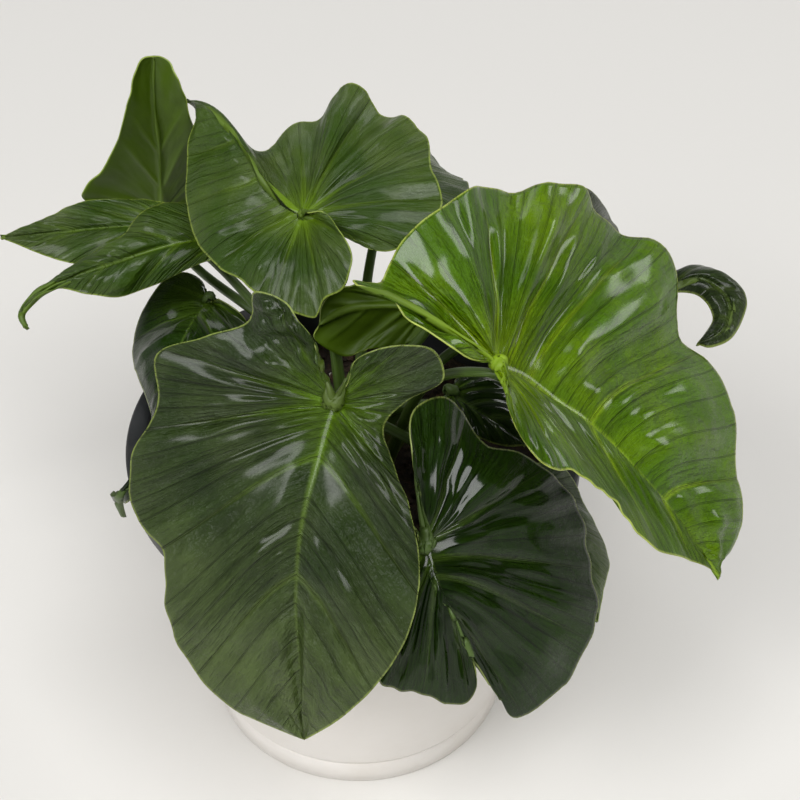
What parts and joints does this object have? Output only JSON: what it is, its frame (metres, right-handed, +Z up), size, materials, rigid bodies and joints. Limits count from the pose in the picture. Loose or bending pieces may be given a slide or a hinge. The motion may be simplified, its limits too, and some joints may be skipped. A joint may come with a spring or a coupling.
{
  "type": "potted philodendron",
  "caption": "Bushy houseplant with wavy, glossy heart-shaped leaves on arching stalks, in a black grow pot hung by its lip inside a white tapered cover pot.",
  "frame": {"origin": "centre of the flat underside of the cover pot", "axes": "+Z up along the pot's axis; -Y is the front, where the largest dark leaf hangs; +X is the side of the bright leaf"},
  "size_m": [0.263, 0.2534, 0.2383],
  "materials": {
    "white_plastic": "moulded, satin",
    "black_plastic": "moulded, satin",
    "potting_mix": "loose, damp peat and bark",
    "stem": "green, slightly woody",
    "stalk": "smooth green",
    "leaf_dark": "glossy, waxy",
    "leaf_mid": "glossy, waxy",
    "leaf_bright": "glossy, waxy",
    "leaf_olive": "satin"
  },
  "bodies": {
    "root": {"blade_back": "leaf_mid", "blade_back_right": "leaf_dark", "blade_centre": "leaf_mid", "blade_front": "leaf_dark", "blade_front_right": "leaf_dark", "blade_inner": "leaf_olive", "blade_left_far": "leaf_mid", "blade_left_hanging": "leaf_dark", "blade_left_near": "leaf_mid", "blade_low_centre": "leaf_dark", "blade_right_bright": "leaf_bright", "blade_right_hooked": "leaf_dark", "blade_under_right": "leaf_mid", "blade_upright": "leaf_olive", "cover_pot": "white_plastic", "grow_pot": "black_plastic", "potting_mix": "potting_mix", "stalk_back": "stalk", "stalk_back_right": "stalk", "stalk_centre": "stalk", "stalk_front": "stalk", "stalk_front_right": "stalk", "stalk_inner": "stalk", "stalk_left_far": "stalk", "stalk_left_hanging": "stalk", "stalk_left_near": "stalk", "stalk_low_centre": "stalk", "stalk_right_bright": "stalk", "stalk_right_hooked": "stalk", "stalk_under_right": "stalk", "stalk_upright": "stalk", "stem": "stem"}
  },
  "joints": []
}
